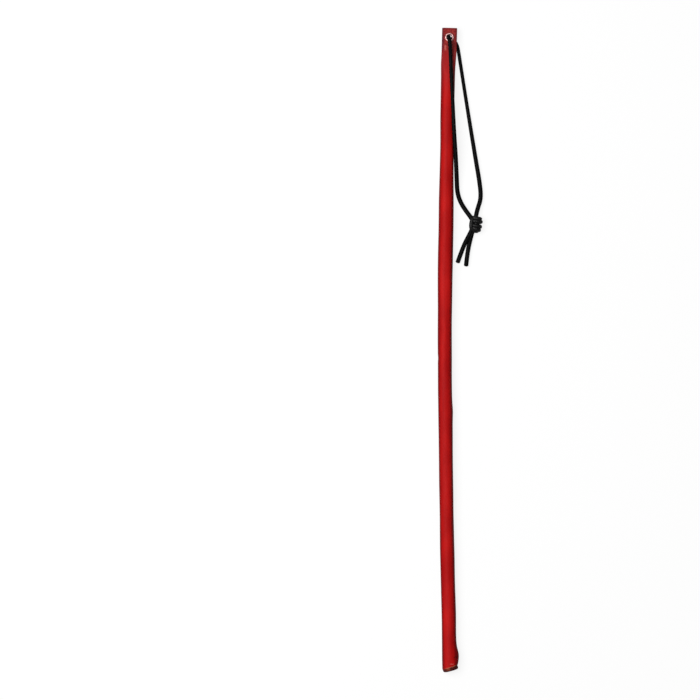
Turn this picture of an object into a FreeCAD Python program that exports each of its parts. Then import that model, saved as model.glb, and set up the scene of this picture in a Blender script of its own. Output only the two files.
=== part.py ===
import FreeCAD, Part
import math
import os
import Sketcher

os.makedirs("parts", exist_ok=True)
doc = FreeCAD.newDocument("FlexibleStick")

# A slim stick lies on a surface at z = 0. Its length runs along Y, its eyelet end at +Y, and it bows gently
# in the plane of the surface, its middle towards -X. All sizes are in millimetres, and angles in degrees.
sizes = {
    "stick_length": 650,
    "bow_depth": 5,
    "cover_diameter": 14.2,
    "rest_flat_width": 4.4,
    "core_diameter": 10,
    "core_clearance": 0.05,
    "core_end_gap": 0.5,
    "tab_length": 20,
    "tab_width": 15.2,
    "tab_thickness": 3.6,
    "tab_height": 7.2,
    "taper_length": 30,
    "taper_inset": 0.2,
    "straight_end": 20,
    "disc_diameter": 13.2,
    "disc_thickness": 3.5,
    "end_slant": 17,
    "stitch_length": 3.2,
    "stitch_width": 0.9,
    "stitch_thickness": 0.6,
    "stitch_pitch": 5,
    "stitch_recess": 0.1,
    "seam_groove_width": 1.0,
    "seam_groove_depth": 0.75,
    "seam_end_margin": 8,
    "eyelet_from_end": 10.1,
    "eyelet_bore": 5.2,
    "eyelet_wall": 0.35,
    "eyelet_flange_diameter": 9.2,
    "eyelet_flange_thickness": 0.8,
    "eyelet_lip_diameter": 7.4,
    "eyelet_lip_thickness": 0.4,
    "eyelet_clearance": 0.05,
    "washer_diameter": 9.2,
    "washer_thickness": 0.6,
    "cord_diameter": 3.5,
    "knot_width": 13.6,
    "knot_length": 18,
    "knot_thickness": 10,
}
sheet = doc.addObject("Spreadsheet::Sheet", "Sizes")
for row, (name, value) in enumerate(sizes.items(), 1):
    sheet.set(f"A{row}", str(value))
    sheet.setAlias(f"A{row}", name)
doc.recompute()

# Lengths and angles that follow from the sizes, as expressions for the objects below.
bowRadius = "(((Sizes.stick_length / 2)^2 + Sizes.bow_depth^2) / (2 * Sizes.bow_depth))"
bowCentre = f"({bowRadius} - Sizes.bow_depth / 2)"
axisHeight = "sqrt((Sizes.cover_diameter / 2)^2 - (Sizes.rest_flat_width / 2)^2)"
endAngle = f"(asin(Sizes.stick_length / 2 / {bowRadius}) + Sizes.end_slant * 1 deg)"
discFaceY = f"(Sizes.stick_length / 2 - Sizes.disc_diameter / 2 * sin({endAngle}))"
tubeEndY = f"({discFaceY} - Sizes.disc_thickness * cos({endAngle}))"
coreEndY = f"({tubeEndY} - Sizes.core_diameter / 2 * tan({endAngle}) - Sizes.core_end_gap)"
tubeTopY = "(Sizes.stick_length / 2 - Sizes.tab_length - Sizes.taper_length)"
tubeTopAngle = f"asin({tubeTopY} / {bowRadius})"
straightFromY = "(Sizes.stick_length / 2 - Sizes.straight_end)"
eyeletAlong = "(Sizes.taper_length + Sizes.tab_length - Sizes.eyelet_from_end)"
barrelRadius = "(Sizes.eyelet_bore / 2 + Sizes.eyelet_wall)"
tabTop = "(Sizes.tab_height + Sizes.tab_thickness / 2)"
tabUnder = "(Sizes.tab_height - Sizes.tab_thickness / 2)"


def angle_at(distance):
    return f"asin({distance} / {bowRadius})"


def size(name):
    return float(sheet.get(name))


def bind(obj, **expressions):
    for key, expression in expressions.items():
        obj.setExpression(key.replace("__", "."), expression)


def place(obj, x, y, z, turn="0"):
    obj.Placement = FreeCAD.Placement(FreeCAD.Vector(), FreeCAD.Rotation(FreeCAD.Vector(0, 0, 1), 1))
    bind(obj, Placement__Base__x=x, Placement__Base__y=y, Placement__Base__z=z)
    bind(obj, Placement__Rotation__Angle=turn)


def new_body(label):
    body = doc.addObject("PartDesign::Body", label)
    body.Label = label
    return body


def new_sketch(body, role, name):
    plane = next(f for f in body.Origin.OriginFeatures if f.Role == role)
    sketch = body.newObject("Sketcher::SketchObject", name)
    sketch.AttachmentSupport = (plane, [""])
    sketch.MapMode = "FlatFace"
    return sketch


def constrain(sketch, expressions):
    # Each entry is (constraint, expression) and its number is the constraint's own.
    for constraint, expression in expressions:
        index = sketch.addConstraint(constraint)
        if expression:
            sketch.setExpression(f"Constraints[{index}]", expression)


def circle(sketch, radius, x="0", y="0"):
    # A circle whose radius and centre are expressions. The centre is left or right of the axis by its sign.
    index = sketch.addGeometry(Part.Circle(FreeCAD.Vector(), FreeCAD.Vector(0, 0, 1), 1))
    rules = [(Sketcher.Constraint("Radius", index, 1), radius)]
    rules.append((Sketcher.Constraint("DistanceX", -1, 1, index, 3, 0), x))
    rules.append((Sketcher.Constraint("DistanceY", -1, 1, index, 3, 0), y))
    constrain(sketch, rules)


def bowed_bar(label, radius, topDistance, endDistance):
    # A round bar that follows the bow, from topDistance on the +Y side to endDistance on the -Y side.
    body = new_body(label)
    top = angle_at(topDistance)
    place(body, bowCentre, "0", axisHeight, f"-{top}")
    profile = new_sketch(body, "XZ_Plane", f"{label}_profile")
    circle(profile, radius, f"-{bowRadius}")
    bar = body.newObject("PartDesign::Revolution", f"{label}_sweep")
    bar.Profile = profile
    bar.ReferenceAxis = (profile, ["V_Axis"])
    bind(bar, Angle=f"{top} + {angle_at(endDistance)}")
    return body


def arc_point(distance):
    # The stick's centreline where its y is the distance given, as expressions for x and y.
    return f"{bowCentre} - {bowRadius} * cos({angle_at(distance)})", f"{distance}"


def tab_point(along):
    # A point on the straight, flattened end, at a distance along it from the top of the round tube.
    x, y = arc_point(tubeTopY)
    return f"{x} + {along} * sin({tubeTopAngle})", f"{y} + {along} * cos({tubeTopAngle})"


def disc_point():
    # The middle of the slanted end, where the closing disc begins.
    x, y = arc_point(straightFromY)
    beyond = f"({tubeEndY} - {straightFromY})"
    lean = angle_at(straightFromY)
    return f"{x} + {beyond} * sin({lean})", f"-{y} - {beyond} * cos({lean})"


def polygon(sketch, corners):
    # A closed outline whose corners are pairs of expressions.
    count = len(corners)
    lines = []
    for index in range(count):
        here = FreeCAD.Vector(math.cos(2 * math.pi * index / count), math.sin(2 * math.pi * index / count), 0)
        turn = 2 * math.pi * (index + 1) / count
        lines.append(sketch.addGeometry(Part.LineSegment(here, FreeCAD.Vector(math.cos(turn), math.sin(turn), 0))))
    rules = []
    for index, (x, y) in enumerate(corners):
        line = lines[index]
        rules.append((Sketcher.Constraint("Coincident", lines[index - 1], 2, line, 1), None))
        rules.append((Sketcher.Constraint("DistanceX", -1, 1, line, 1, 0.1), x))
        rules.append((Sketcher.Constraint("DistanceY", -1, 1, line, 1, 0.1), y))
    constrain(sketch, rules)


def rectangle(sketch, left, right, bottom, top):
    polygon(sketch, [(left, bottom), (right, bottom), (right, top), (left, top)])


def rounded_rectangle(sketch, width, bottom, top, radius):
    # An upright section centred on the sketch's own vertical axis: four lines joined by four tangent arcs.
    corners = [(1, -1), (1, 1), (-1, 1), (-1, -1)]
    lines = []
    for (x0, y0), (x1, y1) in zip(corners, corners[1:] + corners[:1]):
        start = FreeCAD.Vector(x0 * 10 + (x1 - x0), y0 * 10 + (y1 - y0), 0)
        end = FreeCAD.Vector(x1 * 10 - (x1 - x0), y1 * 10 - (y1 - y0), 0)
        lines.append(sketch.addGeometry(Part.LineSegment(start, end)))
    arcs = []
    for number, (x, y) in enumerate(corners[1:] + corners[:1]):
        middle = FreeCAD.Vector(x * 8, y * 8, 0)
        begin = math.radians(90 * number)
        around = Part.Circle(middle, FreeCAD.Vector(0, 0, 1), 2)
        arcs.append(sketch.addGeometry(Part.ArcOfCircle(around, begin, begin + math.pi / 2)))
    rules = []
    for number, arc in enumerate(arcs):
        rules.append((Sketcher.Constraint("Tangent", lines[number], 2, arc, 1), None))
        rules.append((Sketcher.Constraint("Tangent", arc, 2, lines[(number + 1) % 4], 1), None))
    for line in lines[::2]:
        rules.append((Sketcher.Constraint("Vertical", line), None))
    for line in lines[1::2]:
        rules.append((Sketcher.Constraint("Horizontal", line), None))
    for arc in arcs[1:]:
        rules.append((Sketcher.Constraint("Equal", arcs[0], arc), None))
    rules.append((Sketcher.Constraint("Radius", arcs[0], 2), radius))
    rules.append((Sketcher.Constraint("DistanceX", -1, 1, lines[0], 1, 10), f"{width} / 2"))
    rules.append((Sketcher.Constraint("DistanceX", lines[2], 1, -1, 1, 10), f"{width} / 2"))
    rules.append((Sketcher.Constraint("DistanceY", -1, 1, lines[1], 1, 10), top))
    rules.append((Sketcher.Constraint("DistanceY", -1, 1, lines[3], 1, -10), bottom))
    constrain(sketch, rules)


def flattened_end():
    # The round tube narrows in height and widens a little into a flat, square-cut tab.
    body = new_body("flattened_end")
    place(body, *tab_point("0"), "0", f"-{tubeTopAngle}")
    root = new_sketch(body, "XZ_Plane", "taper_root")
    high = f"({axisHeight} + Sizes.cover_diameter / 2 - Sizes.taper_inset)"
    across = "(Sizes.cover_diameter - 2 * Sizes.taper_inset)"
    rounded_rectangle(root, across, "Sizes.taper_inset", high, f"{across} * 0.48")
    flat = new_sketch(body, "XZ_Plane", "tab_section")
    bind(flat, AttachmentOffset__Base__z="-Sizes.taper_length")
    rounded_rectangle(flat, "Sizes.tab_width", tabUnder, tabTop, "Sizes.tab_thickness * 0.45")
    taper = body.newObject("PartDesign::AdditiveLoft", "taper")
    taper.Profile = root
    taper.Sections = [flat]
    taper.Ruled = True
    tab = body.newObject("PartDesign::Pad", "tab")
    tab.Profile = flat
    tab.Reversed = True
    bind(tab, Length="Sizes.tab_length")
    return body


def eyelet_place(body):
    place(body, *tab_point(eyeletAlong), "0")


def stitch_row(label, width, length, bottom, top):
    # Separate short bars, evenly spaced along the underside of the round tube, square to the bow's radius.
    first = f"({tubeTopY} - Sizes.seam_end_margin)"
    last = f"({tubeEndY} - Sizes.seam_end_margin)"
    body = new_body(label)
    place(body, bowCentre, "0", "0", f"-{angle_at(first)}")
    profile = new_sketch(body, "XZ_Plane", f"{label}_profile")
    middle = f"(0 - {bowRadius})"
    rectangle(profile, f"{middle} - {width} / 2", f"{middle} + {width} / 2", bottom, top)
    bar = body.newObject("PartDesign::Pad", f"{label}_bar")
    bar.Profile = profile
    bar.Midplane = True
    bind(bar, Length=length)
    doc.recompute()
    row = body.newObject("PartDesign::PolarPattern", f"{label}_pattern")
    row.Originals = [bar]
    row.Axis = (profile, ["V_Axis"])
    pitchAngle = f"(Sizes.stitch_pitch / {bowRadius} * 180 / pi)"
    reach = f"({angle_at(first)} + {angle_at(last)})"
    row.Mode = "Spacing"
    bind(row, Offset=f"{pitchAngle} * 1 deg", Occurrences=f"floor({reach} / ({pitchAngle} * 1 deg)) + 1")
    body.Tip = row
    return body


def tube_section(sketch, across, middle):
    # The tube's section, its centre at a distance across the sketch: round outside and in, with a narrow flat
    # along the underside and, in the middle of the flat, the groove of the seam. It is drawn at middle first.
    radius = size("cover_diameter") / 2
    flat = size("rest_flat_width") / 2
    groove = size("seam_groove_width") / 2
    depth = size("seam_groove_depth")
    height = math.sqrt(radius ** 2 - flat ** 2)
    corners = [
        (flat, 0, "Sizes.rest_flat_width / 2", "0"),
        (groove, 0, "Sizes.seam_groove_width / 2", "0"),
        (groove, depth, "Sizes.seam_groove_width / 2", "Sizes.seam_groove_depth"),
        (-groove, depth, "-Sizes.seam_groove_width / 2", "Sizes.seam_groove_depth"),
        (-groove, 0, "-Sizes.seam_groove_width / 2", "0"),
        (-flat, 0, "-Sizes.rest_flat_width / 2", "0"),
    ]
    points = [FreeCAD.Vector(middle + x, y, 0) for x, y, _, _ in corners]
    lines = [sketch.addGeometry(Part.LineSegment(*pair)) for pair in zip(points, points[1:])]
    around = Part.Circle(FreeCAD.Vector(middle, height, 0), FreeCAD.Vector(0, 0, 1), radius)
    start = -math.atan2(height, flat)
    arc = sketch.addGeometry(Part.ArcOfCircle(around, start, math.pi - start))
    rules = []
    for index, (_, _, x, y) in enumerate(corners):
        line, end = (lines[index], 1) if index < len(lines) else (lines[-1], 2)
        rules.append((Sketcher.Constraint("DistanceX", -1, 1, line, end, points[index].x), f"{across} + {x}"))
        rules.append((Sketcher.Constraint("DistanceY", -1, 1, line, end, points[index].y), y))
    for first, second in zip(lines, lines[1:]):
        rules.append((Sketcher.Constraint("Coincident", first, 2, second, 1), None))
    rules.append((Sketcher.Constraint("Coincident", arc, 1, lines[0], 1), None))
    rules.append((Sketcher.Constraint("Coincident", arc, 2, lines[-1], 2), None))
    rules.append((Sketcher.Constraint("Radius", arc, radius), "Sizes.cover_diameter / 2"))
    constrain(sketch, rules)
    circle(sketch, "Sizes.core_diameter / 2 + Sizes.core_clearance", across, axisHeight)


def bowed_tube():
    body = new_body("bowed_tube")
    top = angle_at(tubeTopY)
    place(body, bowCentre, "0", "0", f"-{top}")
    profile = new_sketch(body, "XZ_Plane", "tube_profile")
    half = size("stick_length") / 2
    depth = size("bow_depth")
    tube_section(profile, f"(0 - {bowRadius})", -(half ** 2 + depth ** 2) / (2 * depth))
    sweep = body.newObject("PartDesign::Revolution", "tube_sweep")
    sweep.Profile = profile
    sweep.ReferenceAxis = (profile, ["V_Axis"])
    bind(sweep, Angle=f"{top} + {angle_at(straightFromY)}")
    return body


def slanted_end():
    # The last stretch of the tube is straight, and is cut off at a slant where the disc closes it.
    body = new_body("straight_end")
    x, y = arc_point(straightFromY)
    place(body, x, f"-{y}", "0", angle_at(straightFromY))
    profile = new_sketch(body, "XZ_Plane", "end_profile")
    tube_section(profile, "0", 0)
    stretch = body.newObject("PartDesign::Pad", "end_stretch")
    stretch.Profile = profile
    bind(stretch, Length="Sizes.straight_end")
    beyond = new_body("beyond_the_end")
    x, y = disc_point()
    place(beyond, x, y, "0", endAngle)
    edge = new_sketch(beyond, "XZ_Plane", "beyond_section")
    reach = "Sizes.cover_diameter * 2"
    rectangle(edge, f"-{reach}", reach, "-1", reach)
    block = beyond.newObject("PartDesign::Pad", "beyond_block")
    block.Profile = edge
    bind(block, Length="Sizes.straight_end")
    cut = doc.addObject("Part::Cut", "slanted_end")
    cut.Base = body
    cut.Tool = beyond
    return cut


def leather_cover():
    # A leather tube round the core, flattened into a tab at one end and cut at a slant at the other. A narrow
    # flat along the underside is what it rests on, and the thread of its seam lies in a groove along that flat.
    hole = doc.addObject("Part::Cylinder", "tab_hole")
    bind(hole, Radius=f"{barrelRadius} + Sizes.eyelet_clearance", Height=tabTop)
    place(hole, *tab_point(eyeletAlong), "0")
    pierced = doc.addObject("Part::Cut", "pierced_end")
    pierced.Base = flattened_end()
    pierced.Tool = hole
    cover = doc.addObject("Part::MultiFuse", "leather_cover")
    cover.Shapes = [bowed_tube(), slanted_end(), pierced]
    return cover


def core_rod():
    # The springy rod inside the tube, square-cut at both ends.
    return bowed_bar("core_rod", "Sizes.core_diameter / 2", f"({tubeTopY} - Sizes.core_end_gap)", coreEndY)


def end_disc():
    # A leather disc that closes the slanted end of the tube.
    body = new_body("end_disc")
    place(body, *disc_point(), axisHeight, endAngle)
    outline = new_sketch(body, "XZ_Plane", "disc_outline")
    circle(outline, "Sizes.disc_diameter / 2")
    disc = body.newObject("PartDesign::Pad", "disc")
    disc.Profile = outline
    bind(disc, Length="Sizes.disc_thickness")
    return body


def eyelet():
    # A flange on the tab, a barrel down through it, and a lip clenched outwards under the washer.
    body = new_body("eyelet")
    eyelet_place(body)
    bore = "Sizes.eyelet_bore / 2"
    lipTop = f"({tabUnder} - Sizes.washer_thickness)"
    lipUnder = f"({lipTop} - Sizes.eyelet_lip_thickness)"
    flangeTop = f"({tabTop} + Sizes.eyelet_flange_thickness)"
    section = new_sketch(body, "XZ_Plane", "eyelet_section")
    polygon(section, [
        (bore, lipUnder),
        ("Sizes.eyelet_lip_diameter / 2", lipUnder),
        ("Sizes.eyelet_lip_diameter / 2", lipTop),
        (barrelRadius, lipTop),
        (barrelRadius, tabTop),
        ("Sizes.eyelet_flange_diameter / 2", tabTop),
        ("Sizes.eyelet_flange_diameter / 2", flangeTop),
        (bore, flangeTop),
    ])
    turned = body.newObject("PartDesign::Revolution", "eyelet_turned")
    turned.Profile = section
    turned.ReferenceAxis = (section, ["V_Axis"])
    turned.Angle = 360
    return body


def eyelet_washer():
    # The ring between the tab's underside and the eyelet's lip.
    body = new_body("eyelet_washer")
    eyelet_place(body)
    section = new_sketch(body, "XZ_Plane", "washer_section")
    inner = f"{barrelRadius} + Sizes.eyelet_clearance"
    rectangle(section, inner, "Sizes.washer_diameter / 2", f"{tabUnder} - Sizes.washer_thickness", tabUnder)
    turned = body.newObject("PartDesign::Revolution", "washer_turned")
    turned.Profile = section
    turned.ReferenceAxis = (section, ["V_Axis"])
    turned.Angle = 360
    return body


def cord_path(name, points):
    # Straight runs joined by tangent arcs, each as large as its two runs allow.
    corners = [FreeCAD.Vector(*point) for point in points]
    edges = []
    radii = []
    here = corners[0]
    for before, corner, after in zip(corners, corners[1:], corners[2:]):
        toBefore = before - corner
        toAfter = after - corner
        shorter = min(toBefore.Length, toAfter.Length)
        turn = math.pi - toBefore.getAngle(toAfter)
        cutBack = 0.45 * shorter
        radii.append(cutBack / math.tan(turn / 2))
        toBefore.normalize()
        toAfter.normalize()
        bisector = (toBefore + toAfter).normalize()
        start = corner + toBefore * cutBack
        end = corner + toAfter * cutBack
        middle = corner + bisector * (radii[-1] / math.cos(turn / 2) - radii[-1])
        edges.append(Part.LineSegment(here, start).toShape())
        edges.append(Part.Arc(start, middle, end).toShape())
        here = end
    edges.append(Part.LineSegment(here, corners[-1]).toShape())
    path = doc.addObject("Part::Feature", name)
    path.Shape = Part.Wire(edges)
    print(name, "radii", [round(radius, 1) for radius in radii], "length", round(path.Shape.Length, 1))
    return path


def cord_tube(label, points):
    path = cord_path(f"{label}_path", points)
    along = FreeCAD.Vector(*points[1]) - FreeCAD.Vector(*points[0])
    section = doc.addObject("Part::Circle", f"{label}_section")
    section.Placement = FreeCAD.Placement(FreeCAD.Vector(*points[0]),
                                          FreeCAD.Rotation(FreeCAD.Vector(0, 0, 1), along))
    bind(section, Radius="Sizes.cord_diameter / 2")
    tube = doc.addObject("Part::Sweep", label)
    tube.Sections = [section]
    tube.Spine = (path, [f"Edge{number + 1}" for number in range(len(path.Shape.Edges))])
    tube.Solid = True
    return tube


def wrist_knot():
    knot = doc.addObject("Part::Ellipsoid", "wrist_knot")
    bind(knot, Radius1="Sizes.knot_thickness / 2", Radius2="Sizes.knot_width / 2", Radius3="Sizes.knot_length / 2")
    place(knot, str(knotCentre[0]), str(knotCentre[1]), "Sizes.knot_thickness / 2")
    return knot


# The cord's route. Both legs start inside the eyelet's barrel. The front leg rises over the tab, lies on the
# round tube and slides off its flank. The back leg turns out under the tab and lies on the surface. They meet
# in the knot, and two short tails leave it.
eyeletX = 2.12
eyeletY = 314.88
knotCentre = (29.0, 127.0)
frontLeg = [
    (eyeletX, eyeletY, 7.5),
    (eyeletX, eyeletY, 10.6),
    (eyeletX + 0.3, eyeletY - 2.2, 12.8),
    (2.6, 306.0, 13.4),
    (2.9, 292.0, 14.4),
    (3.9, 272.5, 15.8),
    (5.4, 250.0, 14.6),
    (6.9, 221.0, 12.7),
    (8.5, 194.0, 8.4),
    (9.2, 173.0, 4.6),
    (9.9, 159.0, 2.7),
    (13.6, 149.0, 2.2),
    (20.0, 140.0, 3.4),
    (25.6, 132.4, 4.6),
]
backLeg = [
    (eyeletX, eyeletY, 7.5),
    (eyeletX, eyeletY, 4.2),
    (eyeletX + 2.3, eyeletY - 1.0, 1.85),
    (10.1, 309.4, 1.85),
    (12.6, 294.0, 1.85),
    (16.5, 268.0, 1.85),
    (21.8, 234.0, 1.85),
    (28.4, 194.0, 1.85),
    (33.0, 168.0, 1.85),
    (34.2, 152.0, 1.85),
    (31.6, 141.5, 3.2),
    (29.8, 132.6, 4.8),
]
leftTail = [
    (25.1, 122.0, 5.6),
    (22.3, 115.5, 4.9),
    (17.7, 104.5, 2.7),
    (10.7, 87.7, 1.85),
]
rightTail = [
    (27.4, 121.2, 2.8),
    (24.9, 114.2, 1.85),
    (21.0, 98.0, 1.85),
    (19.1, 84.3, 1.85),
]

parts = {
    "core_rod": core_rod(),
    "leather_cover": leather_cover(),
    "seam_thread": stitch_row("seam_thread", "Sizes.stitch_width", "Sizes.stitch_length", "Sizes.stitch_recess",
                              "Sizes.stitch_recess + Sizes.stitch_thickness"),
    "end_disc": end_disc(),
    "eyelet": eyelet(),
    "eyelet_washer": eyelet_washer(),
    "cord_front_leg": cord_tube("cord_front_leg", frontLeg),
    "cord_back_leg": cord_tube("cord_back_leg", backLeg),
    "wrist_knot": wrist_knot(),
    "cord_left_tail": cord_tube("cord_left_tail", leftTail),
    "cord_right_tail": cord_tube("cord_right_tail", rightTail),
}
doc.recompute()

failed = [obj.Name for obj in doc.Objects if any(word in obj.State for word in ("Invalid", "Error"))]
if failed:
    raise SystemExit(f"failed objects: {failed}")
cordArea = math.pi * (size("cord_diameter") / 2) ** 2
for label, part in parts.items():
    part.Label = label
    if part.Shape.isNull() or not part.Shape.isValid():
        raise SystemExit(f"{label} has no valid shape")
    if label.startswith("cord"):
        expected = cordArea * doc.getObject(f"{label}_path").Shape.Length
        print(label, "volume against section times length", round(part.Shape.Volume / expected, 4))
for label, part in parts.items():
    part.Shape.exportStep(f"parts/{label}.step")
    box = part.Shape.BoundBox
    print(label, len(part.Shape.Solids), "solids", round(part.Shape.Volume, 1), "mm3",
          [round(value, 2) for value in (box.XMin, box.XMax, box.YMin, box.YMax, box.ZMin, box.ZMax)])
print("eyelet centre", parts["eyelet"].Placement.Base)
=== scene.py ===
import math
import bpy
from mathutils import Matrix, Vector, noise


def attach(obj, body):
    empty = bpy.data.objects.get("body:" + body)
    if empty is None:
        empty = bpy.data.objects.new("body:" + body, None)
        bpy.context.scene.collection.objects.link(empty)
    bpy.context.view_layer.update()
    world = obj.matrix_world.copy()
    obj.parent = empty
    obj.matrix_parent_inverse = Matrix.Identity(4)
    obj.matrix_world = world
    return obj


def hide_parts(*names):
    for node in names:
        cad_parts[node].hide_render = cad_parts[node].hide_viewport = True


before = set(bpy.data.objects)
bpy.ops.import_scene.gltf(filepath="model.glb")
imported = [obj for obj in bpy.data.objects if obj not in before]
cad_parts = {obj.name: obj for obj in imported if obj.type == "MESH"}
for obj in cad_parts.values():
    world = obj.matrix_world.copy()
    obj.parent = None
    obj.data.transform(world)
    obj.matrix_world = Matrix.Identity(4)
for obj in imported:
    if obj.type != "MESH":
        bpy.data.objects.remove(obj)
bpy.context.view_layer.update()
scene = bpy.context.scene
mm = 0.001


# Shader expressions: a wrapped socket, and one method for any other node.

class Field:
    def __init__(self, tree, socket=None):
        self.tree = tree
        self.socket = socket

    def node(self, kind, settings=None, inputs=None, output=0):
        made = self.tree.nodes.new(kind)
        for key, value in (settings or {}).items():
            setattr(made, key, value)
        for key, value in (inputs or {}).items():
            if isinstance(value, Field):
                self.tree.links.new(value.socket, made.inputs[key])
            else:
                made.inputs[key].default_value = value
        return Field(self.tree, made.outputs[output])

    def maths(self, operation, first, second):
        return self.node("ShaderNodeMath", {"operation": operation}, {0: first, 1: second})

    def __add__(self, other):
        return self.maths("ADD", self, other)

    def __radd__(self, other):
        return self.maths("ADD", other, self)

    def __sub__(self, other):
        return self.maths("SUBTRACT", self, other)

    def __rsub__(self, other):
        return self.maths("SUBTRACT", other, self)

    def __mul__(self, other):
        return self.maths("MULTIPLY", self, other)

    def __rmul__(self, other):
        return self.maths("MULTIPLY", other, self)

    def __abs__(self):
        return self.maths("ABSOLUTE", self, 0.0)


def newMaterial(name):
    material = bpy.data.materials.new(name)
    material.use_nodes = True
    return material, Field(material.node_tree), material.node_tree.nodes["Principled BSDF"]


def finish(shader, field, values):  # a finish's numbers and fields, by the shader's own socket names
    for name, value in values.items():
        if isinstance(value, Field):
            field.tree.links.new(value.socket, shader.inputs[name])
        else:
            shader.inputs[name].default_value = value


def ownPlace(field, scale=(1, 1, 1)):  # the piece's own coordinates, in metres, stretched by a scale
    place = field.node("ShaderNodeTexCoord", output="Object")
    return field.node("ShaderNodeMapping", inputs={"Vector": place, "Scale": scale})


def ramp(field, value, low, high, start=0.0, end=1.0):
    settings = {"interpolation_type": "SMOOTHSTEP"}
    inputs = {"Value": value, "From Min": low, "From Max": high, "To Min": start, "To Max": end}
    return field.node("ShaderNodeMapRange", settings, inputs)


def blend(field, factor, first, second):
    settings = {"data_type": "RGBA"}
    return field.node("ShaderNodeMix", settings, {0: factor, 6: first, 7: second}, 2)


def cloud(field, place, scale, detail=4.0, roughness=0.55):
    inputs = {"Vector": place, "Scale": scale, "Detail": detail, "Roughness": roughness}
    return field.node("ShaderNodeTexNoise", inputs=inputs)


def relief(field, height, depth):
    return field.node("ShaderNodeBump", inputs={"Strength": 1.0, "Distance": depth, "Height": height})


def split(field, place):  # the three numbers of a place
    return [field.node("ShaderNodeSeparateXYZ", inputs={"Vector": place}, output=axis) for axis in "XYZ"]


def spot(field, across, along, middle, reach):  # 1 in the middle of a soft-edged patch, 0 outside its reach
    beside = ramp(field, abs(across - middle[0]), reach[0], 0.2 * reach[0])
    return beside * ramp(field, abs(along - middle[1]), reach[1], 0.3 * reach[1])


# The camera looks straight down at the whole stick.

view = {
    "width": 0.7054,  # the width that the lens takes in, at the height of the stick's middle
    "middle": (-0.0981, 0.0),
    "height": 2.6,
    "aim": 0.007,  # the height of the stick's middle
    "sensor": 36,  # in millimetres
    "reach": 20,
}


def makeCamera():
    data = bpy.data.cameras.new("camera")
    data.sensor_width = view["sensor"]
    data.lens = data.sensor_width * (view["height"] - view["aim"]) / view["width"]
    data.clip_end = view["reach"]
    camera = bpy.data.objects.new("camera", data)
    camera.location = (*view["middle"], view["height"])
    scene.collection.objects.link(camera)
    scene.camera = camera


makeCamera()
print("camera made")


# Cords: the route's points are the smooth line's own control points.

cordLook = {
    "radius": 1.9 * mm,  # over the crowns of the braid
    "looser": 1.24,  # how much fuller the braid is towards its free end
    "growing": (0.2, 0.7),  # the shares of its length between which it grows fuller
    "sides": 30,
    "step": 0.42 * mm,
    "carriers": 6,  # strands of the braid that run each way round
    "lay": 9.5 * mm,  # how far a strand runs along the cord in one turn
    "braidDepth": 0.198,  # how far the gaps between strands lie under the crowns, as a share of the radius
    "tip": 1.1 * mm,  # the sealed end is drawn in over this length
    "tipLeast": 0.06,  # the square of the tip's least radius, as a share of the cord's
    "firstAcross": (0.31, 0.2, 0.93),  # any direction but the cord's own, to count the turns from
    "shine": 0.05,
    "pathStep": 3,  # pathOf takes every third point of the spine
    "dye": [(0.0006, 0.0006, 0.0008, 1), (0.003, 0.003, 0.003, 1), (0.006, 0.006, 0.006, 1)],
    "fibreRelief": 0.05 * mm,
}
eyeletPlace = Vector((2.12, 314.88, 0.0)) * mm
knotPlace = Vector((29.0, 127.0, 5.4)) * mm

frontRoute = [
    (1.5, 315.1, 7.5),
    (1.1, 316.0, 11.2),
    (1.7, 313.0, 13.3),
    (2.6, 306.0, 13.4),
    (2.9, 292.0, 14.4),
    (3.9, 272.5, 15.9),
    (5.1, 250.0, 15.0),
    (6.5, 221.0, 13.6),
    (8.45, 194.0, 9.7),
    (9.5, 173.0, 5.0),
    (10.1, 159.0, 3.1),
    (13.5, 148.8, 2.7),
    (19.4, 139.6, 3.8),
    (25.2, 131.9, 5.2),
    (26.3, 126.4, 6.2),
    (24.7, 121.2, 6.4),
    (21.8, 115.2, 5.8),
    (16.2, 104.6, 3.4),
    (10.3, 87.7, 2.4),
]
backRoute = [
    (1.5, 314.6, 7.5),
    (1.9, 314.8, 4.2),
    (4.42, 313.88, 2.0),
    (10.1, 309.4, 2.0),
    (12.6, 294.0, 2.0),
    (16.6, 268.0, 2.0),
    (22.0, 234.0, 2.1),
    (28.5, 194.0, 2.3),
    (33.0, 168.0, 2.35),
    (34.2, 153.2, 2.4),
    (30.8, 143.0, 3.4),
    (28.7, 134.5, 5.0),
    (28.8, 126.4, 4.4),
    (25.9, 120.6, 2.6),
    (23.9, 114.0, 2.4),
    (20.3, 98.0, 2.4),
    (19.0, 84.3, 2.4),
]


def smoothLine(points, closeness=24):
    # the points along the spline that has these points, in metres, as its control points
    curve = bpy.data.curves.new("line", "CURVE")
    curve.dimensions = "3D"
    curve.resolution_u = closeness
    spline = curve.splines.new("NURBS")
    spline.points.add(len(points) - 1)
    for control, point in zip(spline.points, points):
        control.co = (*point, 1)
    spline.order_u = 3
    spline.use_endpoint_u = True
    holder = bpy.data.objects.new("line", curve)
    scene.collection.objects.link(holder)
    mesh = bpy.data.meshes.new_from_object(holder)
    line = [vertex.co.copy() for vertex in mesh.vertices]
    bpy.data.objects.remove(holder)
    bpy.data.meshes.remove(mesh)
    return line


def evenly(line, step):  # the same line with its points a step apart
    lengths = [0.0]
    for first, second in zip(line, line[1:]):
        lengths.append(lengths[-1] + (second - first).length)
    count = max(2, round(lengths[-1] / step))
    points = []
    index = 0
    for number in range(count + 1):
        target = lengths[-1] * number / count
        while index < len(line) - 2 and lengths[index + 1] < target:
            index += 1
        span = lengths[index + 1] - lengths[index]
        points.append(line[index].lerp(line[index + 1], (target - lengths[index]) / max(span, 1e-9)))
    return points, lengths[-1]


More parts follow.
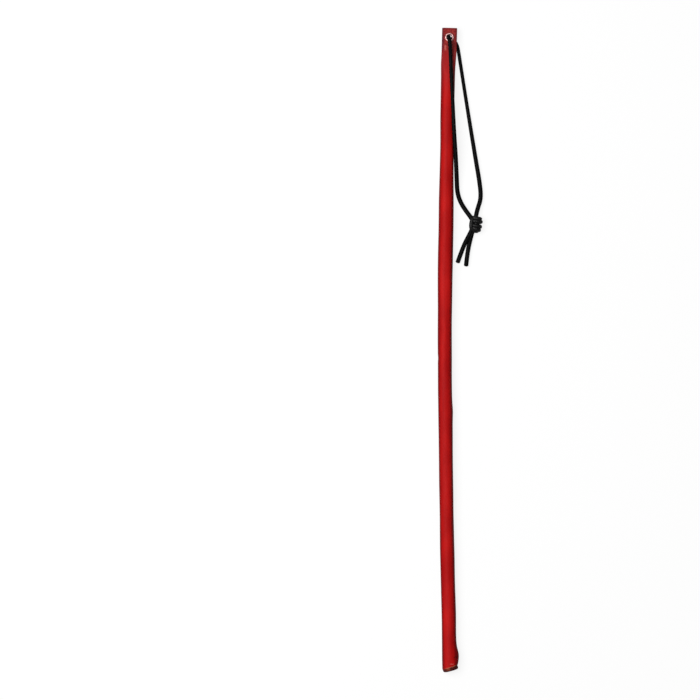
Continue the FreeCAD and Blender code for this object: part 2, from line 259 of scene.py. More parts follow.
def makeMesh(name, points, faces, smooth=True):
    mesh = bpy.data.meshes.new(name)
    mesh.from_pydata(points, [], faces)
    mesh.update()
    if smooth:
        mesh.shade_smooth()
    else:
        mesh.shade_flat()
    piece = bpy.data.objects.new(name, mesh)
    scene.collection.objects.link(piece)
    return piece


def joined(name, pieces):  # several meshes as one piece
    points = []
    faces = []
    for piece in pieces:
        first = len(points)
        points += [vertex.co.copy() for vertex in piece.data.vertices]
        faces += [tuple(first + corner for corner in face.vertices) for face in piece.data.polygons]
        bpy.data.objects.remove(piece)
    return makeMesh(name, points, faces)


def smoothStep(value, low, high):
    share = min(1.0, max(0.0, (value - low) / (high - low)))
    return share * share * (3 - 2 * share)


def hump(value, middle, width):
    return math.exp(-((value - middle) / width) ** 2)


def ringFaces(rings, sides):  # quads between rings of points, and a face over each end
    faces = []
    for ring in range(rings - 1):
        for side in range(sides):
            after = (side + 1) % sides
            low = ring * sides
            faces.append((low + side, low + after, low + sides + after, low + sides + side))
    faces.append(tuple(reversed(range(sides))))
    faces.append(tuple((rings - 1) * sides + side for side in range(sides)))
    return faces


def braidedTube(name, line, closedTips, fullness):
    # a tube whose surface carries two sets of strands that cross, drawn in at its sealed tips, and whose
    # fullness goes from the first number to the second along it
    spine, length = evenly(line, cordLook["step"])
    sides = cordLook["sides"]
    points = []
    across = None
    for index, centre in enumerate(spine):
        before = spine[max(0, index - 1)]
        after = spine[min(len(spine) - 1, index + 1)]
        along = (after - before).normalized()
        across = across or Vector(cordLook["firstAcross"])
        across = (across - along * across.dot(along)).normalized()
        third = along.cross(across)
        travelled = length * index / (len(spine) - 1)
        drawn = 1.0
        grown = smoothStep(travelled / length, *cordLook["growing"])
        full = fullness[0] + (fullness[1] - fullness[0]) * grown
        for tip, near in zip(closedTips, (travelled, length - travelled)):
            if tip and near < cordLook["tip"]:
                rounded = 1 - (1 - near / cordLook["tip"]) ** 2
                drawn = min(drawn, math.sqrt(max(cordLook["tipLeast"], rounded)))
        for side in range(sides):
            turn = math.tau * side / sides
            lay = math.tau * travelled / cordLook["lay"]
            one = abs(math.sin(cordLook["carriers"] * (turn + lay) / 2))
            other = abs(math.sin(cordLook["carriers"] * (turn - lay) / 2))
            woven = 1 - cordLook["braidDepth"] * (1 - max(one, other))
            radius = cordLook["radius"] * full * drawn * woven
            outward = across * math.cos(turn) + third * math.sin(turn)
            points.append(centre + outward * radius)
    return makeMesh(name, points, ringFaces(len(spine), sides)), spine, length


def blackCord(name, shine):
    material, field, shader = newMaterial(name)
    fine = cloud(field, ownPlace(field), 1900.0, 3.0)
    patchy = cloud(field, ownPlace(field), 90.0, 2.0)
    fibres = cloud(field, ownPlace(field, (1, 0.25, 1)), 3200.0, 2.0)
    deep, worn, dusty = cordLook["dye"]
    colour = blend(field, ramp(field, fine, 0.3, 0.75), deep, worn)
    colour = blend(field, ramp(field, patchy, 0.5, 0.8, 0.0, 0.6), colour, dusty)
    finish(shader, field, {
        "Base Color": colour,
        "Roughness": 0.4 + 0.2 * fine,
        "Specular IOR Level": shine,
        "Normal": relief(field, fibres, cordLook["fibreRelief"]),
    })
    return material


cordMaterial = blackCord("black cord", cordLook["shine"])


def makeCord(name, route, nodes):
    line = smoothLine([Vector(point) * mm for point in route])
    cord, spine, measured = braidedTube(name, line, (False, True), (1.0, cordLook["looser"]))
    cord.data.materials.append(cordMaterial)
    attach(cord, "wrist_cord")
    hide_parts(*nodes)
    print(name, "is", round(measured, 4), "m long")
    return cord, spine


knotLook = {  # in millimetres from the middle of the knot
    "wraps": [  # each turn's height on the knot, its fall from left to right, and its reach across and up
        (5.6, 1.5, 4.1, 2.8),
        (2.7, 1.1, 4.6, 3.0),
        (-1.9, 1.8, 4.4, 3.0),
        (-4.9, 2.4, 3.6, 2.7),
    ],
    "steps": 14,  # points to a turn
    "strand": 1.15,  # the cord is fuller in the knot
    "core": [  # where the legs run through
        (0.5, 6.6, 0.0),
        (0.2, 2.0, 0.2),
        (-0.2, -2.0, 0.2),
        (-0.9, -6.4, 0.0),
    ],
    "coreFullness": 1.9,  # both legs together
    "closeness": 6,
    "shine": 0.26,
    "lean": 0.1,  # the lower turns sit further towards the stick
    "crossing": [  # the strand that comes down over the turns' left side
        (-1.6, 6.6, 1.0),
        (-3.6, 5.6, 2.2),
        (-4.7, 2.0, 2.9),
        (-5.2, -2.2, 2.6),
        (-4.4, -5.6, 1.6),
        (-0.6, -7.4, 0.6),
        (2.2, -6.6, -1.4),
    ],
}


def knotTurns():
    # the cord winds round the two legs, each turn square in front and passing on to the next one behind
    points = []
    wraps = knotLook["wraps"]
    for wrap, onward in zip(wraps, wraps[1:] + wraps[-1:]):
        for step in range(knotLook["steps"]):
            turn = math.tau * step / knotLook["steps"]
            share = smoothStep(turn, math.pi, math.tau)
            height, fall, reach, rise = (here + share * (there - here) for here, there in zip(wrap, onward))
            y = height - fall / 2 * math.cos(turn)
            points.append(Vector((reach * math.cos(turn) + knotLook["lean"] * y, y, rise * math.sin(turn))))
    return points


def makeKnot():
    strands = []
    outer = [knotTurns(), knotLook["crossing"]]
    runs = [(points, knotLook["strand"]) for points in outer] + [(knotLook["core"], knotLook["coreFullness"])]
    for points, fullness in runs:
        line = smoothLine([knotPlace + Vector(point) * mm for point in points], knotLook["closeness"])
        strands.append(braidedTube("strand", line, (True, True), (fullness, fullness))[0])
    knot = joined("wristKnot", strands)
    knot.data.materials.append(blackCord("tight cord", knotLook["shine"]))
    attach(knot, "wrist_cord")
    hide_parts("wrist_knot")
    return knot


def pathOf(spine):
    return spine[::cordLook["pathStep"]] + [spine[-1]]


knot = makeKnot()
frontCord, frontSpine = makeCord("frontCord", frontRoute, ["cord_front_leg", "cord_left_tail"])
backCord, backSpine = makeCord("backCord", backRoute, ["cord_back_leg", "cord_right_tail"])
pathOf(frontSpine)
pathOf(backSpine)
print("cords and knot made")


# The stick: its cover is one skin, swept along the bowed centreline.

stick = {
    "half": 325 * mm,
    "bow": 5 * mm,
    "radius": 7.1 * mm,
    "axis": 6.75 * mm,
    "tab": 20 * mm,
    "trimmed": 0.6 * mm,  # how far the cut end of the tab stops short of the full length
    "taper": 30 * mm,
    "tabHalfWidth": 7.6 * mm,
    "tabHalfThickness": 1.8 * mm,
    "tabHeight": 7.2 * mm,
    "wander": 0.45 * mm,  # how far the hand-made stick strays from a true bow
    "wandersLow": (20 * mm, 90 * mm, 260 * mm, 305 * mm),  # below the middle: where it leaves and returns
    "wandersHigh": (195 * mm, 240 * mm, 284 * mm, 302 * mm),  # above the middle, to the other side
    "slant": math.radians(16.5),
    "foot": 5.2 * mm,  # how far the cut end of the tube stops short of the full length
}
bowRadius = (stick["half"] ** 2 + stick["bow"] ** 2) / (2 * stick["bow"])
tubeTop = stick["half"] - stick["tab"] - stick["taper"]
tubeFoot = -stick["half"] + stick["foot"]


def within(value, rise, full, fall, end):  # 0 outside a stretch, 1 inside it, smooth at both ends
    return smoothStep(value, rise, full) - smoothStep(value, fall, end)


def centreline(y):  # the middle of the stick at a distance along it, and the lean of its axis there
    held = min(y, tubeTop)
    x = bowRadius - math.sqrt(bowRadius ** 2 - held ** 2) - stick["bow"] / 2
    lean = math.asin(held / bowRadius)
    wander = within(-y, *stick["wandersLow"]) - within(y, *stick["wandersHigh"])
    return x + (y - held) * math.tan(lean) + stick["wander"] * wander, lean


seamTurn = math.tau * 0.75
coverLook = {
    "sides": 72,
    "besideSeam": (-4.2, -3.3, -2.3, -1.3, 0.0, 1.3, 2.3, 3.3, 4.2),  # more sides there, in degrees
    "ringStep": 1.6 * mm,
    "fineStep": 0.7 * mm,
    "fineBelow": -296 * mm,
    "fineLead": 2 * mm,  # the rings are close again from this far before the taper
    "lastGap": 0.9 * mm,
    "seamDepth": 0.75 * mm,
    "seamHalf": 0.42 * mm,
    "floorGap": 0.02 * mm,
    "footLength": 24 * mm,  # the rings lean over to the slanted end within this length
    "unevenness": [(0.32 * mm, 1.1, 22), (0.04 * mm, 2.4, 64)],  # its depth, and how close round and along
    "rightTurn": -0.12,  # the angle at the middle of the right side, where the swelling is
    "swell": 2.4 * mm,
    "swellAt": -310 * mm,
    "swellReach": (10.5 * mm, 12 * mm),  # above its middle and below
    "dent": {"depth": 0.9 * mm, "at": -311.5 * mm, "reach": 2.4 * mm, "turn": 0.62, "round": 0.3},
    "leftFoot": (0.25 * mm, 296 * mm, 312 * mm),
    "stretches": [  # how far the skin stands out, the middle and reach, the side, and how local it is there
        (0.4 * mm, -62 * mm, 8 * mm, "right", 2),
        (0.85 * mm, 132 * mm, 38 * mm, "right", 2),
        (-0.55 * mm, 208 * mm, 46 * mm, "left", 2),
        (0.45 * mm, 76 * mm, 28 * mm, "both", 1),
        (0.35 * mm, -268 * mm, 34 * mm, "right", 2),
        (-0.3 * mm, -8 * mm, 2.5 * mm, "left", 3),
    ],
    "footRings": [  # the cut end below, from inside outwards: each ring's size, and how far up it lies
        (0.80, 2.4 * mm), (0.80, 0.9 * mm), (0.86, 0.2 * mm),
        (0.95, 0.0), (0.97, 0.1 * mm), (0.99, 0.5 * mm),
    ],
    "tabRings": [  # the cut end of the tab: each ring's distance before it, its size, and its dip inward
        (0.55 * mm, 1.0, 0.0), (0.25 * mm, 0.985, 0.0), (0.08 * mm, 0.955, 0.0),
        (0.0, 0.9, 0.0), (0.0, 0.6, -0.04 * mm), (0.0, 0.25, -0.22 * mm),
    ],
    "chamfer": 1.0 * mm,
    "hole": 3.0 * mm,  # the radius of the eyelet's hole
}
tabForm = {
    "squareness": 5,  # how far the round section turns into a rounded strip
    "squashLead": 4 * mm,  # the tube begins to flatten this far before the taper
    "squashShare": 0.94,
    "widenShare": 0.8,
    "evenness": 0.7,  # how much less uneven the tab is than the tube
    "creases": [(-3.1 * mm, 1.0), (3.4 * mm, 1.0), (0.2 * mm, 0.6)],  # each one's place across, and its share
    "creaseDepth": 0.5 * mm,
    "creaseHalf": 0.8 * mm,
    "creaseAt": (302 * mm, 6.5 * mm),
    "creaseFan": (26 * mm, 8),  # they spread apart towards the eyelet
    "layerLine": (0.28 * mm, 0.1),  # between the two layers at the tab's edges: its depth and half width
}


def sectionTurns():  # angles round the section, closer together beside the seam
    turns = [math.tau * number / coverLook["sides"] for number in range(coverLook["sides"])]
    others = [turn for turn in turns if abs(turn - seamTurn) > 0.02]
    return sorted(others + [seamTurn + math.radians(step) for step in coverLook["besideSeam"]])


def handWork(turn, y):  # how the leather stands off a true tube: soft unevenness, a swelling, small dents
    stand = 0.0
    for depth, around, along in coverLook["unevenness"]:
        stand += depth * noise.noise(Vector((math.cos(turn) * around, y * along, math.sin(turn) * around)))
    right = max(0.0, math.cos(turn - coverLook["rightTurn"]))
    left = max(0.0, math.cos(turn - math.pi))
    swellReach = coverLook["swellReach"][0 if y > coverLook["swellAt"] else 1]
    stand += coverLook["swell"] * hump(y, coverLook["swellAt"], swellReach) * right ** 1.6
    amount, first, last = coverLook["leftFoot"]
    stand += amount * smoothStep(-y, first, last) * left
    dent = coverLook["dent"]
    stand -= dent["depth"] * hump(y, dent["at"], dent["reach"]) * hump(turn, dent["turn"], dent["round"])
    sides = {"right": right, "left": left, "both": left + right}
    for amount, at, reach, side, power in coverLook["stretches"]:
        stand += amount * hump(y, at, reach) * sides[side] ** power
    return stand


def coverPoint(turn, y, drawn, forward):
    # one point of the skin: round along the tube, a flattened rounded strip at the tab
    taper = stick["taper"]
    flat = smoothStep(y, tubeTop, tubeTop + taper)
    squash = smoothStep(y, tubeTop - tabForm["squashLead"], tubeTop + tabForm["squashShare"] * taper)
    widening = smoothStep(y, tubeTop, tubeTop + tabForm["widenShare"] * taper)
    halfWidth = stick["radius"] + (stick["tabHalfWidth"] - stick["radius"]) * widening
    halfHeight = stick["radius"] * (1 - squash) + stick["tabHalfThickness"] * squash
    height = stick["axis"] * (1 - flat) + stick["tabHeight"] * flat
    power = 2 / (2 + tabForm["squareness"] * flat)
    stand = handWork(turn, y) * (1 - tabForm["evenness"] * squash)
    cosine, sine = math.cos(turn), math.sin(turn)
    x = math.copysign(abs(cosine) ** power, cosine) * (halfWidth + stand) * drawn
    z = math.copysign(abs(sine) ** power, sine) * (halfHeight + stand * (1 - squash)) * drawn
    if sine > 0:  # creases on top, where it flattens
        start, fan = tabForm["creaseFan"]
        spread = 1 + (y - tubeTop - start) * fan
        for offset, share in tabForm["creases"]:
            crease = hump(x, offset * spread, tabForm["creaseHalf"]) * hump(y, *tabForm["creaseAt"])
            z -= tabForm["creaseDepth"] * share * crease * drawn
    if abs(cosine) > 0.93 and flat > 0.6:  # the two layers of the tab meet at its edges
        depth, half = tabForm["layerLine"]
        x -= math.copysign(depth * hump(sine, 0, half), cosine)
    z = max(height + z, coverLook["floorGap"])
    if sine < 0:  # the seam's groove underneath
        z += coverLook["seamDepth"] * hump(x, 0, coverLook["seamHalf"]) * drawn * (1 - flat)
    foot = smoothStep(-y, -tubeFoot - coverLook["footLength"], -tubeFoot)
    middle, lean = centreline(y)
    along = y + forward + foot * x * math.tan(stick["slant"])
    return Vector((middle + x * math.cos(lean), along - x * math.sin(lean), z))


def coverRings():  # each ring's distance along the stick, its size, and how far it is moved along
    rings = [(tubeFoot, size, inside) for size, inside in coverLook["footRings"]]
    end = stick["half"] - stick["trimmed"]
    y = tubeFoot + coverLook["chamfer"]
    while y < end - coverLook["lastGap"]:
        rings.append((y, 1.0, 0.0))
        fine = y < coverLook["fineBelow"] or y > tubeTop - coverLook["fineLead"]
        y += coverLook["fineStep"] if fine else coverLook["ringStep"]
    return rings + [(end - before, size, dip) for before, size, dip in coverLook["tabRings"]]


def makeCover():
    turns = sectionTurns()
    points = []
    for y, drawn, forward in coverRings():
        for turn in turns:
            points.append(coverPoint(turn, y, drawn, forward))
    return makeMesh("leatherCover", points, ringFaces(len(points) // len(turns), len(turns)))


def lathe(name, outline, sides, centre):
    # a closed outline of (radius, height) turned about a vertical line
    points = []
    faces = []
    count = len(outline)
    for side in range(sides):
        turn = math.tau * side / sides
        for radius, height in outline:
            points.append(centre + Vector((radius * math.cos(turn), radius * math.sin(turn), height)))
    for side in range(sides):
        after = (side + 1) % sides
        for index in range(count):
            beyond = (index + 1) % count
            here, there = side * count, after * count
            faces.append((here + index, there + index, there + beyond, here + beyond))
    return makeMesh(name, points, faces)


def pierce(piece, radius):  # a round hole down through the tab
    axis, under, over = 0.0001 * mm, -1 * mm, 14 * mm
    outline = [(axis, under), (radius, under), (radius, over), (axis, over)]
    cutter = lathe("cutter", outline, 64, eyeletPlace)
    cut = piece.modifiers.new("hole", "BOOLEAN")
    cut.operation = "DIFFERENCE"
    cut.solver = "EXACT"
    cut.object = cutter
    scene.view_layers[0].update()
    made = bpy.data.meshes.new_from_object(piece.evaluated_get(bpy.context.evaluated_depsgraph_get()))
    piece.modifiers.clear()
    piece.data = made
    bpy.data.objects.remove(cutter)


leatherLook = {
    "deep": (0.38, 0.003, 0.003, 1),
    "bright": (0.49, 0.006, 0.005, 1),
    "streak": (0.28, 0.003, 0.006, 1),
    # painted shade along both flanks of the stick
    "flank": (0.11, 0.001, 0.003, 1),
    "handled": (0.36, 0.024, 0.026, 1),
    "wornDark": (0.13, 0.010, 0.010, 1),
    "wornPale": (0.34, 0.032, 0.028, 1),
    # painted shade on the tab's rounded edges; the right one also serves the top edge
    "leftRimShade": (0.06, 0.008, 0.022, 1),
    "rightRimShade": (0.11, 0.003, 0.006, 1),
    "shadeRightOfCord": (0.25, 0.035, 0.030, 1),  # painted shade of the cord and the right flank, below the tab
    # the colour of painted highlights where creases catch the light
    "crease": (0.62, 0.13, 0.11, 1),
    "creases": [  # the middle of each painted highlight, two on creases below the eyelet and one above the cut end, and its reach across and along
        ((-1.3 * mm, 304.4 * mm), (1.4 * mm, 3.8 * mm)),
        ((5.2 * mm, 307.2 * mm), (0.9 * mm, 3.0 * mm)),
        ((5.0 * mm, -315.8 * mm), (2.6 * mm, 0.6 * mm)),
    ],
    # the raw cut edge's own tan, made paler as a painted highlight
    "cutEdgeAndHighlight": (0.42, 0.16, 0.09, 1),
    # a dark spot above the cut end, on the right side
    "darkSpot": (9.3 * mm, -309.2 * mm),
    "darkSpotReach": (1.1 * mm, 2.4 * mm),
    "darkSpotColour": (0.08, 0.002, 0.003, 1),
    "shares": {  # how much each colour covers the one below it
        "flank": 0.66,
        "shadeRightOfCord": 0.75,
        "handled": 0.5,
        "leftRimShade": 0.8,
        "rightRimShade": 0.7,
        "topRimShade": 0.6,
        "tab": 0.88,
        "darkSpot": 0.85,
    },
    "shine": 0.09,
    "relief": 0.16 * mm,
}


def redLeather():
    material, field, shader = newMaterial("red leather")
    place = ownPlace(field)
    across, along, _ = split(field, place)
    patches = cloud(field, ownPlace(field, (1, 0.35, 1)), 70.0, 3.0)
    streaks = cloud(field, ownPlace(field, (1, 0.04, 1)), 420.0, 4.0)
    pores = field.node("ShaderNodeTexVoronoi", {"feature": "SMOOTH_F1"}, {"Vector": place, "Scale": 1500.0})
    grain = cloud(field, place, 900.0, 5.0, 0.6)
    wrinkles = cloud(field, ownPlace(field, (1, 2.4, 1)), 160.0, 3.0)
    red = blend(field, ramp(field, patches, 0.35, 0.7), leatherLook["deep"], leatherLook["bright"])
    red = blend(field, ramp(field, streaks, 0.45, 0.8, 0.0, 0.4), red, leatherLook["streak"])
    shares = leatherLook["shares"]

    # painted shade darkens both flanks, which follow the bow
    middle = along * along * (0.5 / bowRadius) - stick["bow"] / 2
    flank = ramp(field, abs(across - middle), 4.1 * mm, 6.5 * mm)
    red = blend(field, flank * shares["flank"], red, leatherLook["flank"])

    # the flattened end is handled most and duller; painted shade lies right of the cord and along the tab's
    # edges, with painted highlights on the creases below the eyelet
    # painted shade of the cord and the right flank, right of the cord below the tab
    shadeRightOfCord = ramp(field, along + 0.008 * patches, 0.252, 0.286) * ramp(field, across, 3.6 * mm, 6.4 * mm)
    red = blend(field, shadeRightOfCord * shares["shadeRightOfCord"], red, leatherLook["shadeRightOfCord"])
    pinker = ramp(field, along + 0.008 * patches, 0.255, 0.300)
    red = blend(field, pinker * shares["handled"], red, leatherLook["handled"])
    tab = ramp(field, along + 0.006 * patches, 0.298, 0.311)
    blotches = cloud(field, place, 330.0, 3.0)
    mottled = ramp(field, 0.45 * grain + 0.55 * blotches, 0.38, 0.62)
    worn = blend(field, mottled, leatherLook["wornDark"], leatherLook["wornPale"])
    fromMiddle = across - eyeletPlace.x + 0.002 * blotches
    leftRimShade = ramp(field, fromMiddle, -3.6 * mm, -6.4 * mm)
    rightRimShade = ramp(field, fromMiddle, 5.6 * mm, 8.2 * mm)
    topRimShade = ramp(field, along, 321.5 * mm, 324.5 * mm)
    # worn now also carries painted shade along the tab's left, right and top edges
    worn = blend(field, leftRimShade * shares["leftRimShade"], worn, leatherLook["leftRimShade"])
    worn = blend(field, rightRimShade * shares["rightRimShade"], worn, leatherLook["rightRimShade"])
    worn = blend(field, topRimShade * shares["topRimShade"], worn, leatherLook["rightRimShade"])
    colour = blend(field, tab * shares["tab"], red, worn)
    # painted highlights on the creases below the eyelet and just above the cut end
    for spotPlace, reach in leatherLook["creases"]:
        crease = spot(field, across + 0.0015 * wrinkles, along, spotPlace, reach)
        crease = crease * ramp(field, grain, 0.3, 0.6, 0.35, 0.95)
        colour = blend(field, crease, colour, leatherLook["crease"])

    # the cut edge's own tan shows as a thin line round the slanted end, made paler as a painted highlight,
    # with a dark spot above it
    toEnd = along - across * math.tan(stick["slant"]) + 0.0006 * wrinkles
    end = tubeFoot - centreline(tubeFoot)[0] * math.tan(stick["slant"])
    cutEdgeAndHighlight = ramp(field, toEnd, end + 1.7 * mm, end + 0.9 * mm)
    cutEdgeAndHighlight = cutEdgeAndHighlight * ramp(field, across, -4 * mm, 1 * mm, 0.1, 0.8)
    cutEdgeAndHighlight = cutEdgeAndHighlight * ramp(field, grain, 0.3, 0.6, 0.5, 1.0)
    colour = blend(field, cutEdgeAndHighlight, colour, leatherLook["cutEdgeAndHighlight"])
    darkSpot = spot(field, across, along, leatherLook["darkSpot"], leatherLook["darkSpotReach"])
    colour = blend(field, darkSpot * shares["darkSpot"], colour, leatherLook["darkSpotColour"])
    height = grain * 0.5 + pores * 0.35 + wrinkles * 0.4
    finish(shader, field, {
        "Base Color": colour,
        "Roughness": ramp(field, grain, 0.3, 0.75, 0.52, 0.68) + 0.08 * tab,
        "Specular IOR Level": leatherLook["shine"],
        "Normal": relief(field, height, leatherLook["relief"]),
    })
    return material


leather = redLeather()
cover = makeCover()
pierce(cover, coverLook["hole"])
cover.data.materials.clear()
cover.data.materials.append(leather)
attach(cover, "stick")
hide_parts("leather_cover")
print("cover made,", len(cover.data.vertices), "points")


# The seam's thread lies in its groove along the underside.

seam = {
    "pitch": 5 * mm,
    "length": 3.6 * mm,
    "radius": 0.36 * mm,
    "height": 0.42 * mm,
    "first": -309 * mm,
    "last": 267 * mm,
    "wander": 0.05 * mm,
    "dip": 0.3 * mm,
    "rings": 9,
    "sides": 8,
    "thread": [(0.13, 0.008, 0.008, 1), (0.24, 0.03, 0.022, 1)],
    "twistRelief": 0.05 * mm,
}


def makeStitches():
    # each stitch is a short thread that dips into the leather at both ends
    points = []
    faces = []
    rings, sides = seam["rings"], seam["sides"]
    for number in range(int((seam["last"] - seam["first"]) / seam["pitch"]) + 1):
        start = seam["first"] + seam["pitch"] * number
        wander = seam["wander"] * noise.noise(Vector((number * 0.7, 0, 0)))
        base = len(points)
        for ring in range(rings):
            share = ring / (rings - 1)
            y = start + seam["length"] * (share - 0.5)
            middle, _ = centreline(y)
            thick = seam["radius"] * math.sqrt(max(0.05, 1 - (2 * share - 1) ** 6))
            z = seam["height"] + seam["dip"] * (2 * share - 1) ** 4
            for side in range(sides):
                turn = math.tau * side / sides + share * 1.2
                radius = thick * (1 + 0.12 * math.cos(2 * turn + 6 * share))
                x = middle + wander + radius * math.cos(turn)
                points.append(Vector((x, y, z + radius * math.sin(turn))))
        faces += [tuple(base + corner for corner in face) for face in ringFaces(rings, sides)]
    return makeMesh("seamStitches", points, faces)


def waxedThread():
    material, field, shader = newMaterial("waxed thread")
    twist = field.node("ShaderNodeTexWave", {"bands_direction": "DIAGONAL"},
                       {"Vector": ownPlace(field), "Scale": 420.0, "Distortion": 0.6})
    patchy = cloud(field, ownPlace(field), 240.0)
    finish(shader, field, {
        "Base Color": blend(field, patchy, *seam["thread"]),
        "Roughness": 0.55 + 0.1 * patchy,
        "Normal": relief(field, twist, seam["twistRelief"]),
    })
    return material


stitches = makeStitches()
stitches.data.materials.append(waxedThread())
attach(stitches, "stick")
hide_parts("seam_thread")


# The leather disc that closes the slanted end.

disc = {
    "radius": 7.05 * mm,
    "fullerRight": 1.15 * mm,  # the cover is swollen on its right side
    "fullerLeft": 0.3 * mm,
    "thickness": 3.4 * mm,
    "edge": 1.7 * mm,
    "sides": 72,
    "inner": [  # the rings inside the tube and just outside it: their share of the radius, and their depth
        (0.12, -1.6 * mm), (0.7, -1.6 * mm), (0.8, -1.5 * mm), (0.86, -0.4 * mm), (0.94, 0.03 * mm),
        (0.985, 0.2 * mm), (1.0, 0.6 * mm),
    ],
    "outer": [(0.6, 0.06 * mm), (0.3, 0.02 * mm), (0.08, 0.0)],  # on the outer face, past its thickness
    "edgeSteps": 6,
    "fullerFace": 0.6 * mm,  # the outer face bulges towards its right side
    "roughness": 0.12 * mm,
    "lowest": 0.05 * mm,
    "raw": (1.3 * mm, -321.2 * mm),  # where a patch of its edge has lost its dye
    "rawReach": (2.6 * mm, 1.9 * mm),
    "dark": [(0.035, 0.002, 0.002, 1), (0.10, 0.006, 0.004, 1)],
    "tan": [(0.20, 0.030, 0.008, 1), (0.36, 0.08, 0.024, 1)],
}


def makeDisc():
    # rings from the middle of the inner face, round the edge, to the middle of the outer face
    thickness = disc["thickness"]
    profile = disc["inner"] + [(1.0, thickness - disc["edge"])]
    for step in range(disc["edgeSteps"]):
        turn = math.pi / 2 * (step + 1) / disc["edgeSteps"]
        inset = disc["edge"] * (1 - math.cos(turn)) / disc["radius"]
        profile.append((1 - inset, thickness - disc["edge"] * (1 - math.sin(turn))))
    profile += [(share, thickness + past) for share, past in disc["outer"]]
    middle, _ = centreline(tubeFoot)
    tilt = stick["slant"]
    points = []
    for share, depth in profile:
        for side in range(disc["sides"]):
            turn = math.tau * side / disc["sides"]
            place = Vector((math.cos(turn), math.sin(turn), depth * 700))
            uneven = 1 + 0.018 * noise.noise(place * 1.7) + 0.012 * noise.noise(place * 5)
            fuller = disc["fullerRight"] if math.cos(turn) > 0 else disc["fullerLeft"]
            x = (disc["radius"] + fuller * math.cos(turn) ** 2) * share * uneven * math.cos(turn)
            z = disc["radius"] * share * uneven * math.sin(turn)
            rough = disc["roughness"] * noise.noise(Vector((x, z, 0)) * 520) * (depth > 2 * mm)
            right = max(0.0, math.cos(turn)) * share
            push = depth + rough + disc["fullerFace"] * right ** 2 * (depth > 1 * mm)
            y = tubeFoot + x * math.sin(tilt) - push * math.cos(tilt)
            z = max(stick["axis"] + z, disc["lowest"])  # flat underneath, as the tube is
            points.append(Vector((middle + x * math.cos(tilt) + push * math.sin(tilt), y, z)))
    return makeMesh("endDisc", points, ringFaces(len(profile), disc["sides"]))


def cutLeather():
    material, field, shader = newMaterial("cut leather")
    place = ownPlace(field)
    across, along, _ = split(field, place)
    fibres = cloud(field, place, 1400.0, 5.0, 0.65)
    patches = cloud(field, place, 260.0, 3.0)
    dark = blend(field, ramp(field, patches, 0.35, 0.7), *disc["dark"])
    tan = blend(field, ramp(field, fibres, 0.35, 0.7), *disc["tan"])
    raw = spot(field, across + 0.001 * patches, along, disc["raw"], disc["rawReach"])
    finish(shader, field, {
        "Base Color": blend(field, 0.6 * raw, dark, tan),
        "Roughness": 0.6 + 0.2 * fibres,
        "Specular IOR Level": 0.2,
        "Normal": relief(field, fibres, 0.2 * mm),
    })
    return material


endDisc = makeDisc()
endDisc.data.materials.append(cutLeather())
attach(endDisc, "stick")
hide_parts("end_disc")
print("seam and closed end made")


# The eyelet is rolled over on top and clenched under its washer.

ring = {
    "bore": 2.6 * mm,
    "wall": 0.35 * mm,
    "flange": 4.6 * mm,
    "flangeRise": 0.85 * mm,
    "lip": 3.7 * mm,
    "washer": 4.6 * mm,
    "washerThickness": 0.6 * mm,
    "washerPlay": 0.05 * mm,  # between the barrel and the washer
    "washerCorner": (0.15 * mm, 0.12 * mm),
    "clench": 0.2 * mm,  # the radius of the clenched lip's edge
    "bite": 0.02 * mm,  # how far the flange is pressed into the leather
    "sides": 72,
    "metal": [(0.58, 0.33, 0.32, 1), (0.32, 0.16, 0.15, 1)],  # clean and tarnished, both tinted pink as a painted reflection of the red leather
}


def makeEyelet():
    top = stick["tabHeight"] + stick["tabHalfThickness"]
    under = stick["tabHeight"] - stick["tabHalfThickness"]
    foot = under - ring["washerThickness"]
    outer = ring["bore"] + ring["wall"]
    clench = ring["clench"]
    outline = [(ring["bore"], foot - 0.15 * mm)]
    roll = (ring["flange"] - ring["bore"]) / 2
    for step in range(13):  # over the flange, from the bore to its outer edge
        turn = math.pi * (1 - step / 12)
        radius = ring["bore"] + roll + roll * math.cos(turn)
        outline.append((radius, top + ring["flangeRise"] * math.sin(turn) ** 0.7))
    seat = top - ring["bite"]
    outline += [(ring["flange"] - 0.12 * mm, seat), (outer, seat), (outer, foot - 0.01 * mm)]
    for step in range(7):  # round the clenched lip
        turn = math.pi / 2 - math.pi * step / 6
        radius = ring["lip"] - clench + clench * math.cos(turn)
        outline.append((radius, foot - clench + clench * math.sin(turn)))
    outline.append((ring["bore"] + clench, foot - 2 * clench))
    return lathe("eyeletRing", list(reversed(outline)), ring["sides"], eyeletPlace)


def makeWasher():
    under = stick["tabHeight"] - stick["tabHalfThickness"] - 0.01 * mm
    foot = under - ring["washerThickness"]
    inner = ring["bore"] + ring["wall"] + ring["washerPlay"]
    outer = ring["washer"]
    across, up = ring["washerCorner"]
    outline = [(inner, foot), (outer - across, foot), (outer, foot + up)]
    outline += [(outer, under - up), (outer - across, under), (inner, under)]
    return lathe("backWasher", outline, ring["sides"], eyeletPlace)


def nickel():
    material, field, shader = newMaterial("nickel")
    scuffs = cloud(field, ownPlace(field, (1, 4, 1)), 900.0, 5.0, 0.7)
    tarnish = cloud(field, ownPlace(field), 420.0, 3.0)
    finish(shader, field, {
        # the pink tint is a painted reflection of the red leather
        "Base Color": blend(field, ramp(field, tarnish, 0.4, 0.75), *ring["metal"]),
        "Metallic": 1.0,
        "Roughness": ramp(field, scuffs, 0.3, 0.8, 0.4, 0.6),
        "Normal": relief(field, scuffs, 0.015 * mm),
    })
    return material


nickelMaterial = nickel()
for piece, node in ((makeEyelet(), "eyelet"), (makeWasher(), "eyelet_washer")):
    piece.data.materials.append(nickelMaterial)
    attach(piece, "stick")
    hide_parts(node)


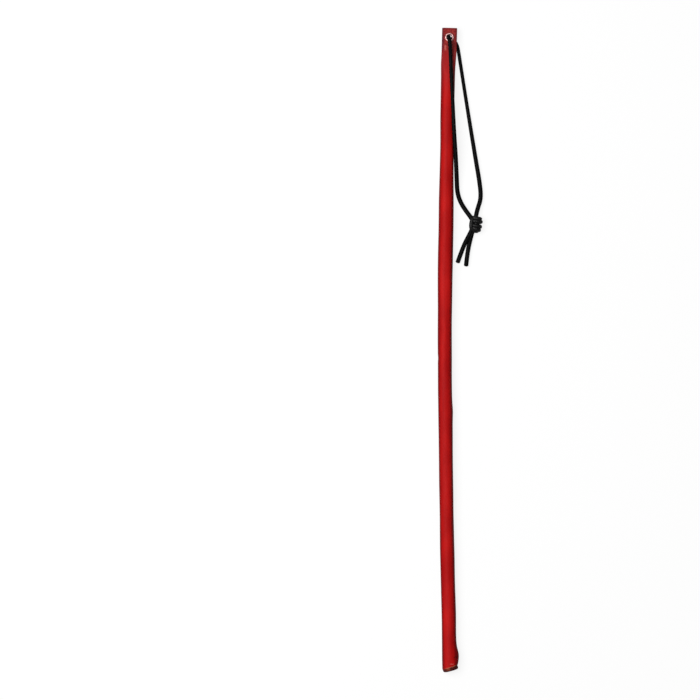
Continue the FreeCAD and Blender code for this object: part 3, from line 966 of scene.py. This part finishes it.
def springyRod():
    material, field, shader = newMaterial("springy rod")
    drawn = cloud(field, ownPlace(field, (1, 0.03, 1)), 700.0)
    finish(shader, field, {
        "Base Color": blend(field, drawn, (0.012, 0.012, 0.013, 1), (0.03, 0.03, 0.03, 1)),
        "Roughness": 0.35 + 0.2 * drawn,
    })
    return material


# The rod is hidden inside the cover, and keeps its own CAD form.

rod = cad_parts["core_rod"]
rod.data.materials.clear()
rod.data.materials.append(springyRod())
print("eyelet and rod finished")


# Floor and studio light.

studio = {
    "world": 0.14,
    "key": {"place": (-0.85, 0.25, 1.75), "size": 1.5, "power": 45.5},
    "fill": {"place": (0.9, -0.7, 1.6), "size": 1.4, "power": 0.6},
    "floor": (0.16, 0.16, 0.16, 1),  # what the floor throws back at the stick
    "shadowShare": 0.15,  # how much of the floor's own light the camera sees
    "floorHalf": 6.0,
}


def whiteFloor():
    material, field, shader = newMaterial("white floor")
    tree = material.node_tree
    rays = tree.nodes.new("ShaderNodeLightPath")
    cameraRay = Field(tree, rays.outputs["Is Camera Ray"])
    paper = blend(field, cameraRay, studio["floor"], (1, 1, 1, 1))
    finish(shader, field, {"Base Color": paper, "Roughness": 0.9, "Specular IOR Level": 0.0})
    seen = cameraRay + Field(tree, rays.outputs["Is Glossy Ray"])
    seen = seen + Field(tree, rays.outputs["Is Transmission Ray"])
    white = field.node("ShaderNodeEmission", inputs={"Color": (1, 1, 1, 1), "Strength": 1.0})
    mixed = field.node("ShaderNodeMixShader", inputs={
        0: seen * (1 - studio["shadowShare"]),
        1: Field(tree, shader.outputs[0]),
        2: white,
    })
    tree.links.new(mixed.socket, tree.nodes["Material Output"].inputs["Surface"])
    return material


def makeFloor():
    half = studio["floorHalf"]
    corners = [(-half, -half, 0), (half, -half, 0), (half, half, 0), (-half, half, 0)]
    floor = makeMesh("floor", corners, [(0, 1, 2, 3)], False)
    floor.data.materials.append(whiteFloor())


def makeLamp(name, settings):
    data = bpy.data.lights.new(name, "AREA")
    data.size = settings["size"]
    data.energy = settings["power"]
    lamp = bpy.data.objects.new(name, data)
    lamp.location = settings["place"]
    lamp.rotation_euler = (-Vector(settings["place"])).to_track_quat("-Z", "Y").to_euler()
    scene.collection.objects.link(lamp)


makeFloor()
makeLamp("key", studio["key"])
makeLamp("fill", studio["fill"])
world = bpy.data.worlds.new("studio")
world.use_nodes = True
background = world.node_tree.nodes["Background"]
background.inputs["Color"].default_value = (1, 1, 1, 1)
background.inputs["Strength"].default_value = studio["world"]
scene.world = world
scene.view_settings.view_transform = "Standard"
print("studio made")
